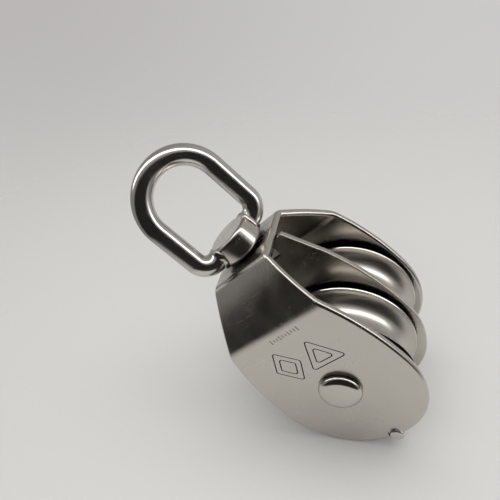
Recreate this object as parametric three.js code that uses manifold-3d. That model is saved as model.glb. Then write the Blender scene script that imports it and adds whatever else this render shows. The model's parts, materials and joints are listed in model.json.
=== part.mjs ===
// Double sheave block with a swivel eye, in polished stainless steel.
//
// Two rope sheaves run on ball bearings on one riveted axle, inside a shell folded from a single sheet.
// Units are millimetres. +Y runs along the axle, from the near cheek to the far cheek, and +Z points up
// at the eye. Every dimension is measured from the middle of the axle. The finished block is then
// lowered, so that its origin is the point it hangs from: the inside of the eye, at the top.

import * as THREE from "three";
import { mergeVertices } from "three/addons/utils/BufferGeometryUtils.js";
import Module from "manifold-3d";

const wasm = await Module();
wasm.setup();

// ---------------------------------------------------------------- driving dimensions

// folded shell
const SHEET = 2.7; // thickness of the strap sheet
const CHEEK_Y = 25; // outer face of a cheek, from the mid-plane
const CREASE_Z = 32.3; // where the flat cheek turns into the sloping shoulder
const CROWN_Z = 49.7; // outer face of the flat crown
const CROWN_Y = 12.7; // bend between shoulder and crown, from the mid-plane
const CREASE_BEND_R = 8; // outer radius of the easy bend between cheek and shoulder
const CROWN_BEND_R = 4; // outer radius of the tighter bend between shoulder and crown
const SHOULDER_BOW = THREE.MathUtils.degToRad(14); // how much a shoulder curves between its two bends

// outline of the cheeks and of the partition, seen along the axle
const CHEEK_HALF_WIDTH = 26;
const CHEEK_DROP = 29.4; // lowest point of a cheek, below the axle
const CHEEK_FULLNESS = 2.12; // exponent of the lower half's super-ellipse, where 2 is a plain ellipse
const CREASE_HALF_WIDTH = 20.3;
const CROWN_HALF_WIDTH = 12.5;

// partition between the sheaves
const PARTITION = 2.2;
const PARTITION_OVERHANG = 0.5; // how far each side stands out past the cheeks
const PARTITION_SLOT_HALF_WIDTH = 8.6; // room for the swivel's foot
const PARTITION_SLOT_FLOOR_Z = 40.6;

// axle and tie rod
const AXLE_R = 5;
const AXLE_HEAD_R = 7.3;
const AXLE_HEAD_H = 3.2;
const AXLE_HEAD_FLAT_R = 4.9;
const ROD_R = 2.5;
const ROD_Z = -28.7;
const ROD_PROUD = 0.7; // how far each end stands out of its cheek
const ROD_CHAMFER = 0.5;

// sheaves
const SHEAVE_R = 25;
const SHEAVE_WIDTH = 16.8;
const SHEAVE_Y = 11.3; // middle of each sheave, from the mid-plane
const GROOVE_DEPTH = 6.4;
const RIM_LIP = 0.6; // width of the edge left on each side of the groove
const DISH_HALF_WIDTH = 5.4; // the web is thinner than the rim
const DISH_OUTER_R = 22.6;
const DISH_INNER_R = 18.6;

// ball bearings, 10 x 26 x 8
const BEARING_R = 13;
const BEARING_WIDTH = 8;
const BALL_COUNT = 7;
const BALL_PITCH_R = 9;
const BALL_R = 2.25;
const RACE_R = 2.37; // radius of the track that a ball runs in
const INNER_SHOULDER_R = 7.1;
const OUTER_SHOULDER_R = 10.9;
const SHIELD_SEAT_R = 11.35;
const SHIELD_BORE_R = 7.5;
const SHIELD = 0.3;
const SHIELD_INSET = 0.2;
const CAGE_INNER_R = 8.1;
const CAGE_OUTER_R = 9.9;
const CAGE_WIDTH = 6.2;
const CAGE_POCKET_R = 2.45;
const SPACER_R = 7;

// swivel and eye
const BOSS_FOOT_Z = 50.3;
const BOSS_TOP_Z = 58.4;
const BOSS_FOOT_R = 8.6;
const BOSS_TOP_R = 8.1;
const BOSS_EDGE = 1.1; // rounding of the boss's edges
const STEM_R = 4.5;
const WASHER_R = 8;
const WASHER = 1.4;
const FOOT_R = 7; // head formed on the stem, below the washer
const FOOT_H = 2.6;
const SWIVEL_PLAY = 0.15; // clearance on each side of the washer
const EYE_BAR_R = 3.6;
const EYE_HALF_WIDTH = 14.1; // centre line of a leg, from the swivel axis
const EYE_CORNER_R = 5.2;
const EYE_WELD_Z = 55.2; // height at which the bar's ends meet the boss
const EYE_ARCH_Z = 76.2; // centre of the half circle at the top
const EYE_ANGLE = THREE.MathUtils.degToRad(46.3); // eye's plane, turned from +X about +Z
const WELD_GAP = 0.3;

// clearances
const FIT = 0.05; // between pieces that are pressed or riveted together
const RUNNING = 0.1; // round a stem or shank in a sheet hole
const STEM_CLEARANCE = 0.35;

// segments in a full turn
const SHEAVE_SEGMENTS = 44;
const BEARING_SEGMENTS = 24;
const AXLE_SEGMENTS = 28;
const BAR_SIDES = 16;

// segments along other curves
const GROOVE_STEPS = 11; // odd, so that one flat runs round the bottom of the groove
const EYE_STEPS = 47; // odd, so that one flat is square to the swivel axis at the top
const FOOT_STEPS = 13; // from the foot of a plate to its widest point
const SIDE_STEPS = 6; // from there to the crease
const BEND_STEPS = 4;
const BOW_STEPS = 3;

// ---------------------------------------------------------------- colours

const STEEL = {
  satin: { color: 0xa9a6a0, roughness: 0.32, metalness: 1 },
  polished: { color: 0xc2c0bb, roughness: 0.16, metalness: 1 },
  turned: { color: 0xb4b1aa, roughness: 0.26, metalness: 1 },
  bearing: { color: 0x9d9c9a, roughness: 0.2, metalness: 1 },
  brass: { color: 0xb08d4f, roughness: 0.4, metalness: 1 },
};

// ---------------------------------------------------------------- helpers

// Moves the lathe's flats so that one of them is square to +Z.
const flatOnAxis = (segments) => Math.PI / segments;

// A body of revolution about Y. Each profile point is [radius, y].
function turned(profile, segments) {
  const points = profile.map(([radius, y]) => new THREE.Vector2(radius, y));
  return new THREE.LatheGeometry(points, segments, flatOnAxis(segments));
}

// A plain ring about Y. Its profile closes on itself.
function ring(innerR, outerR, width, segments) {
  const half = width / 2;
  const profile = [[innerR, -half], [outerR, -half], [outerR, half], [innerR, half], [innerR, -half]];
  return turned(profile, segments);
}

// A body of revolution about Z. Each profile point is [radius, z].
function turnedAboutZ(profile, segments) {
  return turned(profile, segments).rotateX(Math.PI / 2);
}

// Points of an arc, as [x, y] pairs, from one angle to another.
function arcPoints(centreX, centreY, radiusX, radiusY, from, to, steps) {
  const points = [];
  for (let i = 0; i <= steps; i += 1) {
    const angle = from + ((to - from) * i) / steps;
    points.push([centreX + radiusX * Math.cos(angle), centreY + radiusY * Math.sin(angle)]);
  }
  return points;
}

// A shape drawn in (x, z), extruded along Y and centred on y = 0.
function extrudedAlongY(shape, depth) {
  const geometry = new THREE.ExtrudeGeometry(shape, { depth, bevelEnabled: false, curveSegments: 8 });
  return geometry.translate(0, 0, -depth / 2).rotateX(Math.PI / 2);
}

function toSolid(geometry) {
  const bare = geometry.clone();
  bare.deleteAttribute("normal");
  bare.deleteAttribute("uv");
  const merged = mergeVertices(bare, 1e-4);
  const mesh = new wasm.Mesh({
    numProp: 3,
    vertProperties: new Float32Array(merged.attributes.position.array),
    triVerts: new Uint32Array(merged.index.array),
  });
  return new wasm.Manifold(mesh);
}

function toGeometry(solid) {
  const mesh = solid.getMesh();
  const geometry = new THREE.BufferGeometry();
  geometry.setAttribute("position", new THREE.BufferAttribute(mesh.vertProperties, 3));
  geometry.setIndex(new THREE.BufferAttribute(mesh.triVerts, 1));
  geometry.computeVertexNormals();
  return geometry;
}

function cut(geometry, ...tools) {
  const solid = tools.reduce((body, tool) => body.subtract(toSolid(tool)), toSolid(geometry));
  return toGeometry(solid);
}

// ---------------------------------------------------------------- folded shell and partition

// Half the width of the sheet above the axle: the sides lean in to the crease, then taper straight.
function halfWidthAt(z) {
  const lean = CHEEK_HALF_WIDTH - CREASE_HALF_WIDTH;
  const sideR = (lean ** 2 + CREASE_Z ** 2) / (2 * lean);
  if (z < CREASE_Z) {
    return CHEEK_HALF_WIDTH - sideR + Math.sqrt(sideR ** 2 - z ** 2);
  }
  const share = (z - CREASE_Z) / (CROWN_Z - CREASE_Z);
  return THREE.MathUtils.lerp(CREASE_HALF_WIDTH, CROWN_HALF_WIDTH, share);
}

// One side of a flat plate, from a short flat at its foot up to the given height. Points are [x, z].
function sideOutline(topZ) {
  const power = 2 / CHEEK_FULLNESS;
  const points = [];
  for (let i = 0; i < FOOT_STEPS; i += 1) {
    const angle = ((Math.PI / 2) * (i + 0.5)) / FOOT_STEPS;
    points.push([CHEEK_HALF_WIDTH * Math.sin(angle) ** power, -CHEEK_DROP * Math.cos(angle) ** power]);
  }
  points[0][1] = -CHEEK_DROP;
  for (let i = 0; i <= SIDE_STEPS; i += 1) {
    const z = (topZ * i) / SIDE_STEPS;
    points.push([halfWidthAt(z), z]);
  }
  return points;
}

// Far half of the bent sheet, from the foot of the cheek to the crown. Each station holds half the
// sheet's width, and the places of its outer and inner face as [y, z].
function foldStations() {
  const slope = Math.atan2(CROWN_Z - CREASE_Z, CHEEK_Y - CROWN_Y);
  const creaseTurn = Math.PI / 2 - slope;
  const creaseY = CHEEK_Y - CREASE_BEND_R;
  const creaseZ = CREASE_Z - CREASE_BEND_R * Math.tan(creaseTurn / 2);
  const crownZ = CROWN_Z - CROWN_BEND_R;

  // the shoulder's bow joins both bends smoothly, and its radius gives the crown its height
  const bowFrom = creaseTurn - SHOULDER_BOW / 2;
  const bowTo = creaseTurn + SHOULDER_BOW / 2;
  const rise = crownZ - creaseZ + CROWN_BEND_R * Math.sin(bowTo) - CREASE_BEND_R * Math.sin(bowFrom);
  const bowR = rise / (Math.sin(bowTo) - Math.sin(bowFrom));
  const bowY = creaseY - (bowR - CREASE_BEND_R) * Math.cos(bowFrom);
  const bowZ = creaseZ - (bowR - CREASE_BEND_R) * Math.sin(bowFrom);
  const crownY = bowY + (bowR - CROWN_BEND_R) * Math.cos(bowTo);

  const cheek = sideOutline(creaseZ).map(([x, z]) => [x, [CHEEK_Y, z], [CHEEK_Y - SHEET, z]]);
  const bend = (y, z, radius, from, to, steps) => {
    const outer = arcPoints(y, z, radius, radius, from, to, steps);
    const inner = arcPoints(y, z, radius - SHEET, radius - SHEET, from, to, steps);
    return outer.map((point, i) => [halfWidthAt(point[1]), point, inner[i]]).slice(1);
  };
  return [
    ...cheek,
    ...bend(creaseY, creaseZ, CREASE_BEND_R, 0, bowFrom, BEND_STEPS),
    ...bend(bowY, bowZ, bowR, bowFrom, bowTo, BOW_STEPS),
    ...bend(crownY, crownZ, CROWN_BEND_R, bowTo, Math.PI / 2, BEND_STEPS),
  ];
}

// The whole bent sheet. Its edges are square to its faces, because the blank is cut before it is bent.
function bentSheet() {
  const far = foldStations();
  const near = far.map(([x, outer, inner]) => [x, [-outer[0], outer[1]], [-inner[0], inner[1]]]);
  const positions = [];
  for (const [x, outer, inner] of [...far, ...near.reverse()]) {
    positions.push(x, ...outer, x, ...inner, -x, ...inner, -x, ...outer);
  }
  const index = [0, 1, 2, 0, 2, 3];
  const last = positions.length / 3 - 4;
  for (let start = 0; start < last; start += 4) {
    for (let k = 0; k < 4; k += 1) {
      const a = start + k;
      const b = start + ((k + 1) % 4);
      index.push(a, b + 4, b, a, a + 4, b + 4);
    }
  }
  index.push(last, last + 2, last + 1, last, last + 3, last + 2);
  const geometry = new THREE.BufferGeometry();
  geometry.setAttribute("position", new THREE.Float32BufferAttribute(positions, 3));
  geometry.setIndex(index);
  return geometry;
}

// A solid disc or rod about Y, centred on y = 0.
function rod(radius, length, segments) {
  const half = length / 2;
  return turned([[0, -half], [radius, -half], [radius, half], [0, half]], segments);
}

function rodNotch() {
  return rod(ROD_R + FIT, CHEEK_Y * 3, BAR_SIDES).translate(0, 0, ROD_Z);
}

function sideStrap() {
  const axleHoles = rod(AXLE_R + RUNNING, CHEEK_Y * 3, AXLE_SEGMENTS);
  const stemHole = rod(STEM_R + STEM_CLEARANCE, SHEET * 3, AXLE_SEGMENTS).rotateX(Math.PI / 2);
  stemHole.translate(0, 0, CROWN_Z);
  return cut(bentSheet(), axleHoles, stemHole, rodNotch());
}

function partitionPlate() {
  const topZ = CROWN_Z - SHEET - RUNNING;
  const side = [...sideOutline(CREASE_Z), [halfWidthAt(topZ), topZ]];
  const right = side.map(([x, z]) => new THREE.Vector2(x + PARTITION_OVERHANG, z));
  const left = right.map(({ x, y }) => new THREE.Vector2(-x, y)).reverse();
  const plate = extrudedAlongY(new THREE.Shape([...right, ...left]), PARTITION);
  const axleHole = rod(AXLE_R + RUNNING, PARTITION * 3, AXLE_SEGMENTS);
  const slotHeight = (topZ - PARTITION_SLOT_FLOOR_Z) * 2;
  const slot = new THREE.BoxGeometry(PARTITION_SLOT_HALF_WIDTH * 2, PARTITION * 3, slotHeight);
  slot.translate(0, 0, topZ);
  return cut(plate, axleHole, slot, rodNotch());
}

function tieRod() {
  const half = CHEEK_Y + ROD_PROUD;
  const endR = ROD_R - ROD_CHAMFER;
  const shoulder = half - ROD_CHAMFER;
  const farEnd = [[ROD_R, shoulder], [endR, half], [0, half]];
  const nearEnd = farEnd.map(([radius, y]) => [radius, -y]).reverse();
  return turned([...nearEnd, ...farEnd], BAR_SIDES);
}

// ---------------------------------------------------------------- axle

// One pin, riveted over at both ends into low round heads with a flat middle.
function axlePin() {
  const seat = CHEEK_Y + FIT;
  const top = CHEEK_Y + AXLE_HEAD_H;
  const edge = AXLE_HEAD_H * 0.4;
  const crownR = AXLE_HEAD_R - AXLE_HEAD_FLAT_R;
  const head = [
    [AXLE_R, seat],
    [AXLE_HEAD_R, seat],
    [AXLE_HEAD_R, seat + edge / 2],
    ...arcPoints(AXLE_HEAD_FLAT_R, seat + edge, crownR, top - seat - edge, 0, Math.PI / 2, 3),
    [0, top],
  ];
  const nearHead = head.map(([radius, y]) => [radius, -y]).reverse();
  return turned([...nearHead, ...head], AXLE_SEGMENTS);
}

// ---------------------------------------------------------------- sheaves and bearings

function sheave() {
  const rim = SHEAVE_WIDTH / 2;
  const grooveHalf = rim - RIM_LIP;
  const bore = BEARING_R + FIT;
  const web = [[bore, DISH_HALF_WIDTH], [DISH_INNER_R, DISH_HALF_WIDTH]];
  const side = [...web, [DISH_OUTER_R, rim], [SHEAVE_R, rim]];
  const profile = [
    ...side.map(([radius, y]) => [radius, -y]),
    ...arcPoints(SHEAVE_R, 0, GROOVE_DEPTH, grooveHalf, -Math.PI / 2, -1.5 * Math.PI, GROOVE_STEPS),
    ...side.reverse(),
    [bore, -DISH_HALF_WIDTH],
  ];
  return turned(profile, SHEAVE_SEGMENTS);
}

// Sleeve between a bearing and the plate beside it, centred on y = 0.
function spacer(room) {
  return ring(AXLE_R + FIT, SPACER_R, room - BEARING_WIDTH / 2 - 2 * FIT, BEARING_SEGMENTS);
}

function innerRing() {
  const half = BEARING_WIDTH / 2;
  const bore = AXLE_R + FIT;
  const track = Math.acos((BALL_PITCH_R - INNER_SHOULDER_R) / RACE_R);
  const profile = [
    [bore, -half],
    [INNER_SHOULDER_R, -half],
    ...arcPoints(BALL_PITCH_R, 0, RACE_R, RACE_R, Math.PI + track, Math.PI - track, 4),
    [INNER_SHOULDER_R, half],
    [bore, half],
    [bore, -half],
  ];
  return turned(profile, BEARING_SEGMENTS);
}

function outerRing() {
  const half = BEARING_WIDTH / 2;
  const seat = half - SHIELD_INSET - SHIELD - FIT;
  const track = Math.acos((OUTER_SHOULDER_R - BALL_PITCH_R) / RACE_R);
  const profile = [
    [SHIELD_SEAT_R, -half],
    [BEARING_R, -half],
    [BEARING_R, half],
    [SHIELD_SEAT_R, half],
    [SHIELD_SEAT_R, seat],
    [OUTER_SHOULDER_R, seat],
    ...arcPoints(BALL_PITCH_R, 0, RACE_R, RACE_R, track, -track, 4),
    [OUTER_SHOULDER_R, -seat],
    [SHIELD_SEAT_R, -seat],
    [SHIELD_SEAT_R, -half],
  ];
  return turned(profile, BEARING_SEGMENTS);
}

function cage() {
  const pockets = [];
  for (let i = 0; i < BALL_COUNT; i += 1) {
    const pocket = new THREE.CylinderGeometry(CAGE_POCKET_R, CAGE_POCKET_R, CAGE_OUTER_R, 12);
    pocket.rotateX(Math.PI / 2).translate(0, 0, BALL_PITCH_R).rotateY((i * 2 * Math.PI) / BALL_COUNT);
    pockets.push(pocket);
  }
  return cut(ring(CAGE_INNER_R, CAGE_OUTER_R, CAGE_WIDTH, BEARING_SEGMENTS), ...pockets);
}

// ---------------------------------------------------------------- swivel and eye

// Boss above the crown, stem through it, and a formed foot that holds the washer below.
function swivelStud() {
  const footTop = CROWN_Z - SHEET - WASHER - 2 * SWIVEL_PLAY;
  const footBottom = footTop - FOOT_H;
  const bossEdge = (radius, z, from, to) => {
    return arcPoints(radius - BOSS_EDGE, z, BOSS_EDGE, BOSS_EDGE, from, to, 3);
  };
  const profile = [
    [0, footBottom],
    [FOOT_R - 1.2, footBottom],
    [FOOT_R, footBottom + 1],
    [FOOT_R, footTop],
    [STEM_R, footTop],
    [STEM_R, BOSS_FOOT_Z],
    ...bossEdge(BOSS_FOOT_R, BOSS_FOOT_Z + BOSS_EDGE, -Math.PI / 2, 0),
    ...bossEdge(BOSS_TOP_R, BOSS_TOP_Z - BOSS_EDGE, 0, Math.PI / 2),
    [0, BOSS_TOP_Z],
  ];
  return turnedAboutZ(profile, AXLE_SEGMENTS);
}

// A flat path drawn in (x, z), as a curve in space.
class UprightCurve extends THREE.Curve {
  constructor(path) {
    super();
    this.path = path;
  }

  getPoint(t, target = new THREE.Vector3()) {
    const point = this.path.getPoint(t);
    return target.set(point.x, 0, point.y);
  }
}

// Centre line of the eye's bar, drawn in (x, z).
function eyePath() {
  const bendX = EYE_HALF_WIDTH - EYE_CORNER_R;
  const bendZ = EYE_WELD_Z + EYE_CORNER_R;
  const path = new THREE.Path();
  path.moveTo(BOSS_TOP_R / 2, EYE_WELD_Z);
  path.lineTo(bendX, EYE_WELD_Z);
  path.absarc(bendX, bendZ, EYE_CORNER_R, -Math.PI / 2, 0, false);
  path.lineTo(EYE_HALF_WIDTH, EYE_ARCH_Z);
  path.absarc(0, EYE_ARCH_Z, EYE_HALF_WIDTH, 0, Math.PI, false);
  path.lineTo(-EYE_HALF_WIDTH, bendZ);
  path.absarc(-bendX, bendZ, EYE_CORNER_R, Math.PI, 1.5 * Math.PI, false);
  path.lineTo(-BOSS_TOP_R / 2, EYE_WELD_Z);
  return path;
}

// Height of the flat inside the top of the eye, where the block hangs.
function hangHeight() {
  const stations = new UprightCurve(eyePath()).getSpacedPoints(EYE_STEPS);
  const rise = stations[(EYE_STEPS - 1) / 2].z - EYE_ARCH_Z;
  const innerR = EYE_HALF_WIDTH - EYE_BAR_R * Math.cos(Math.PI / BAR_SIDES);
  return EYE_ARCH_Z + (rise * innerR) / EYE_HALF_WIDTH;
}

// Round bar bent into a closed loop, its two ends coped to fit the sides of the boss.
function eyeBar() {
  const phase = Math.PI / BAR_SIDES;
  const corners = arcPoints(0, 0, EYE_BAR_R, EYE_BAR_R, phase, phase + 2 * Math.PI, BAR_SIDES);
  const section = new THREE.Shape(corners.slice(0, BAR_SIDES).map(([x, y]) => new THREE.Vector2(x, y)));
  const extrudePath = new UprightCurve(eyePath());
  const bar = new THREE.ExtrudeGeometry(section, { steps: EYE_STEPS, extrudePath });
  const bossRoom = rod(BOSS_FOOT_R + WELD_GAP, EYE_BAR_R * 3, AXLE_SEGMENTS).rotateX(Math.PI / 2);
  bossRoom.translate(0, 0, EYE_WELD_Z);
  return cut(bar, bossRoom);
}

// ---------------------------------------------------------------- assembly

const block = new THREE.Group();

function place(parent, name, geometry, finish, x = 0, y = 0, z = 0) {
  const mesh = new THREE.Mesh(geometry, new THREE.MeshStandardMaterial(finish));
  mesh.name = name;
  mesh.position.set(x, y, z);
  parent.add(mesh);
}

place(block, "side_strap", sideStrap(), STEEL.satin);
place(block, "partition_plate", partitionPlate(), STEEL.satin);
place(block, "tie_rod", tieRod(), STEEL.polished, 0, 0, ROD_Z);
place(block, "axle_pin", axlePin(), STEEL.polished);

for (const [side, direction] of [["near", -1], ["far", 1]]) {
  const wheel = new THREE.Group();
  wheel.position.y = direction * SHEAVE_Y;
  block.add(wheel);

  place(wheel, `sheave_${side}`, sheave(), STEEL.turned);
  place(wheel, `bearing_outer_ring_${side}`, outerRing(), STEEL.bearing);
  place(wheel, `bearing_inner_ring_${side}`, innerRing(), STEEL.bearing);
  place(wheel, `bearing_cage_${side}`, cage(), STEEL.brass);

  const toCheek = CHEEK_Y - SHEET - SHEAVE_Y;
  const toPartition = SHEAVE_Y - PARTITION / 2;
  const ends = [["outboard", direction, toCheek], ["inboard", -direction, toPartition]];
  for (const [end, sign, room] of ends) {
    const shieldY = BEARING_WIDTH / 2 - SHIELD_INSET - SHIELD / 2;
    const shield = ring(SHIELD_BORE_R, SHIELD_SEAT_R - FIT, SHIELD, BEARING_SEGMENTS);
    const spacerY = (BEARING_WIDTH / 2 + room) / 2;
    place(wheel, `bearing_shield_${side}_${end}`, shield, STEEL.bearing, 0, sign * shieldY);
    place(wheel, `spacer_${side}_${end}`, spacer(room), STEEL.turned, 0, sign * spacerY);
  }

  for (let i = 0; i < BALL_COUNT; i += 1) {
    const angle = (i * 2 * Math.PI) / BALL_COUNT;
    const x = BALL_PITCH_R * Math.sin(angle);
    const z = BALL_PITCH_R * Math.cos(angle);
    const ball = new THREE.IcosahedronGeometry(BALL_R, 1);
    place(wheel, `ball_${side}_${i + 1}`, ball, STEEL.polished, x, 0, z);
  }
}

const eye = new THREE.Group();
eye.rotation.z = EYE_ANGLE;
block.add(eye);

const washerZ = CROWN_Z - SHEET - SWIVEL_PLAY - WASHER / 2;
const washer = ring(STEM_R + RUNNING, WASHER_R, WASHER, BEARING_SEGMENTS).rotateX(Math.PI / 2);
place(eye, "swivel_stud", swivelStud(), STEEL.satin);
place(eye, "swivel_washer", washer, STEEL.turned, 0, 0, washerZ);
place(eye, "eye_bail", eyeBar(), STEEL.polished);

const hungBlock = new THREE.Group();
block.position.z = -hangHeight();
hungBlock.add(block);

export default hungBlock;
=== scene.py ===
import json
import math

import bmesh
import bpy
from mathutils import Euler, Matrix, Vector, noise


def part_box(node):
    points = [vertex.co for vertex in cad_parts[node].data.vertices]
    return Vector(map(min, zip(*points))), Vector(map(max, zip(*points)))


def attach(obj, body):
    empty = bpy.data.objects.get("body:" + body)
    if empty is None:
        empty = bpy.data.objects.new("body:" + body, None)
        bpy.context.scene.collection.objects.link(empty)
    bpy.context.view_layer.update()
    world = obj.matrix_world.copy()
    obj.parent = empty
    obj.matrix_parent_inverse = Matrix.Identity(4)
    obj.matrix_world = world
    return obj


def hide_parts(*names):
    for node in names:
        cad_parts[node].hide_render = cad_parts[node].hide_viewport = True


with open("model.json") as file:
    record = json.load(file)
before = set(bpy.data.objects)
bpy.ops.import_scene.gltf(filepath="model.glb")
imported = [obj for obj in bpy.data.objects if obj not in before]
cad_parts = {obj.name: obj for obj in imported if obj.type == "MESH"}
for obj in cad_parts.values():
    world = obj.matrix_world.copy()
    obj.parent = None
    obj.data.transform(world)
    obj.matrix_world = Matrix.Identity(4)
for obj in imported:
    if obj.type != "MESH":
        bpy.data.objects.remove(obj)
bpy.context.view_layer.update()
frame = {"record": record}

# Double sheave block with a swivel eye: both cheeks and the crown folded from one sheet, a partition
# between the two sheaves, and a welded eye that swivels on the crown.
#
# Shapes are drawn in millimetres from the middle of the axle. +Y runs along the axle, from the near cheek
# to the far cheek, and +Z points up at the eye. add_piece() turns them into metres in the object's frame.

MM = 0.001
BODIES = frame["record"]["behaviour"]["bodies"]
BODY_OF = {node: body for body, members in BODIES.items() for node in members}

# ---------------------------------------------------------------- dimensions taken from the frame

AXLE = sum(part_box("axle_pin"), Vector()) / 2


def span(node):
    """Lowest and highest corners of a CAD node, in millimetres from the middle of the axle."""
    low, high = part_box(node)
    return (low - AXLE) / MM, (high - AXLE) / MM


STRAP_HIGH = span("side_strap")[1]
CHEEK_Y = STRAP_HIGH.y
CROWN_Z = STRAP_HIGH.z
CHEEK_HALF_WIDTH = STRAP_HIGH.x

PARTITION_HIGH = span("partition_plate")[1]
PARTITION_Y = PARTITION_HIGH.y
PARTITION_OVERHANG = PARTITION_HIGH.x - CHEEK_HALF_WIDTH
PARTITION_TOP_Z = PARTITION_HIGH.z

ROD_LOW, ROD_HIGH = span("tie_rod")
ROD_END_Y = ROD_HIGH.y
ROD_R = ROD_HIGH.x
ROD_Z = (ROD_HIGH.z + ROD_LOW.z) / 2

HEAD_TOP_Y = span("axle_pin")[1].y

SHEAVE_LOW, SHEAVE_HIGH = span("sheave_far")
SHEAVE_Y = (SHEAVE_HIGH.y + SHEAVE_LOW.y) / 2
RIM_Y = (SHEAVE_HIGH.y - SHEAVE_LOW.y) / 2

STUD_LOW, STUD_HIGH = span("swivel_stud")
BOSS_TOP_Z = STUD_HIGH.z
FOOT_BOTTOM_Z = STUD_LOW.z
WASHER_LOW, WASHER_HIGH = span("swivel_washer")

# ---------------------------------------------------------------- dimensions of the design, as in the CAD

SHEET = 2.7
CREASE_Z = 32.3
CROWN_Y = 12.7
CREASE_BEND_R = 8
CROWN_BEND_R = 4
CHEEK_DROP = 29.4
CHEEK_FULLNESS = 2.12
CREASE_HALF_WIDTH = 20.3
CROWN_HALF_WIDTH = 12.5
SHOULDER_BOW = math.radians(14)  # how much the shoulder curves between its two bends
SLOT_HALF_WIDTH = 8.6
SLOT_FLOOR_Z = 40.6

AXLE_R = 5
HEAD_R = 7.3
HEAD_FLAT_R = 4.6

SHEAVE_R = 25
GROOVE_DEPTH = 6.4
RIM_LIP = 0.6
RIM_WEAR = 0.26  # slope worn across a lip by the rope
DISH_HALF_WIDTH = 5.4
DISH_OUTER_R = 22.6
DISH_INNER_R = 18.6

BEARING_R = 13
BEARING_HALF = 4
BALL_COUNT = 7
BALL_PITCH_R = 9
BALL_R = 2.25
RACE_R = 2.37
INNER_SHOULDER_R = 7.1
OUTER_SHOULDER_R = 10.9
SHIELD_SEAT_R = 11.35
SHIELD_BORE_R = 7.5
SHIELD = 0.3
SHIELD_Y = 3.65
CAGE_INNER_R = 8.1
CAGE_OUTER_R = 9.9
CAGE_HALF = 3.1
CAGE_POCKET_R = 2.45
SPACER_R = 7

BOSS_FOOT_Z = 50.3
BOSS_FOOT_R = 8.6
BOSS_TOP_R = 8.1
BOSS_WAIST_R = 8.5
BOSS_EDGE = 1.5
STEM_R = 4.5
STEM_PLAY = 0.35  # room round the stem in the crown's hole
STEM_CUT = 9  # how far the hole's cutter reaches above and below the crown's face
FOOT_R = 7
FOOT_GAP = 0.15  # between the foot and the washer
EYE_BAR_R = 3.6
EYE_HALF_WIDTH = 14.1
EYE_CORNER_R = 5.2
EYE_WELD_Z = 55.2
EYE_ARCH_Z = span("eye_bail")[1].z - EYE_HALF_WIDTH - EYE_BAR_R
EYE_ANGLE = math.radians(46.3)

FIT = 0.05
THROUGH = CHEEK_Y * 2  # half the length of a cutter that passes through both cheeks
EDGE = 1.05  # rounding left by tumbling on the strap's cut edges
PARTITION_EDGE = 0.45

# The floor that the block lies on, as it leans over on the edges of its cheeks.
LEAN = math.radians(42.6)
UP = Vector((math.sin(LEAN), 0, math.cos(LEAN)))
RIGHT = Vector((math.cos(LEAN), 0, -math.sin(LEAN)))
FORWARD = Vector((0, 1, 0))
FLOOR_DROP = 28.5  # floor below the axle, along UP

# ---------------------------------------------------------------- outlines


def arc(centre, radius, start, end, steps):
    """Points of an arc. radius is one number, or a pair for an ellipse."""
    across, along = radius if isinstance(radius, tuple) else (radius, radius)
    points = []
    for i in range(steps + 1):
        angle = start + (end - start) * i / steps
        points.append((centre[0] + across * math.cos(angle), centre[1] + along * math.sin(angle)))
    return points


def filleted(corners, steps=5):
    """An open outline. A corner given as (x, y, radius) is replaced by an arc tangent to both its sides."""
    path = []
    for i, corner in enumerate(corners):
        here = Vector(corner[:2])
        if len(corner) == 2:
            path.append(tuple(here))
            continue
        before = (Vector(corners[i - 1][:2]) - here).normalized()
        after = (Vector(corners[i + 1][:2]) - here).normalized()
        half = before.angle(after) / 2
        centre = here + (before + after).normalized() * corner[2] / math.sin(half)
        start = here + before * corner[2] / math.tan(half) - centre
        end = here + after * corner[2] / math.tan(half) - centre
        turn = start.angle(end)
        for k in range(steps + 1):
            t = k / steps
            spoke = (start * math.sin((1 - t) * turn) + end * math.sin(t * turn)) / math.sin(turn)
            path.append(tuple(centre + spoke))
    return path


def rounded_outline(corners, radius):
    """A closed outline with every corner rounded."""
    count = len(corners)
    path = []
    for i in range(count):
        trio = [corners[i - 1], (*corners[i], radius), corners[(i + 1) % count]]
        path += filleted(trio, 4)[1:-1]
    return path


def mirrored(half):
    """The second half of a profile that is the same on both sides of y = 0."""
    return [(across, -along) for across, along in reversed(half)]


def mitre(before, here, after):
    """Sideways step at a corner of an outline, which moves both its sides by one unit."""
    incoming, outgoing = (here - before).normalized(), (after - here).normalized()
    side = Vector((incoming.y + outgoing.y, -incoming.x - outgoing.x)).normalized()
    return side / side.dot(Vector((outgoing.y, -outgoing.x)))


def half_width_at(z):
    """Half the width of the sheet above the axle: the sides lean in to the crease, then taper straight."""
    lean = CHEEK_HALF_WIDTH - CREASE_HALF_WIDTH
    side_r = (lean**2 + CREASE_Z**2) / (2 * lean)
    if z < CREASE_Z:
        return CHEEK_HALF_WIDTH - side_r + math.sqrt(side_r**2 - z**2)
    share = (z - CREASE_Z) / (CROWN_Z - CREASE_Z)
    return CREASE_HALF_WIDTH + (CROWN_HALF_WIDTH - CREASE_HALF_WIDTH) * share


def side_outline(top_z):
    """One side of a flat plate in (x, z), from a short flat at its foot up to top_z."""
    foot_steps, side_steps = 22, 16
    power = 2 / CHEEK_FULLNESS
    points = []
    for i in range(foot_steps):
        angle = math.pi / 2 * (i + 0.5) / foot_steps
        points.append((CHEEK_HALF_WIDTH * math.sin(angle) ** power, -CHEEK_DROP * math.cos(angle) ** power))
    for i in range(side_steps + 1):
        z = top_z * i / side_steps
        points.append((half_width_at(z), z))
    return points


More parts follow.
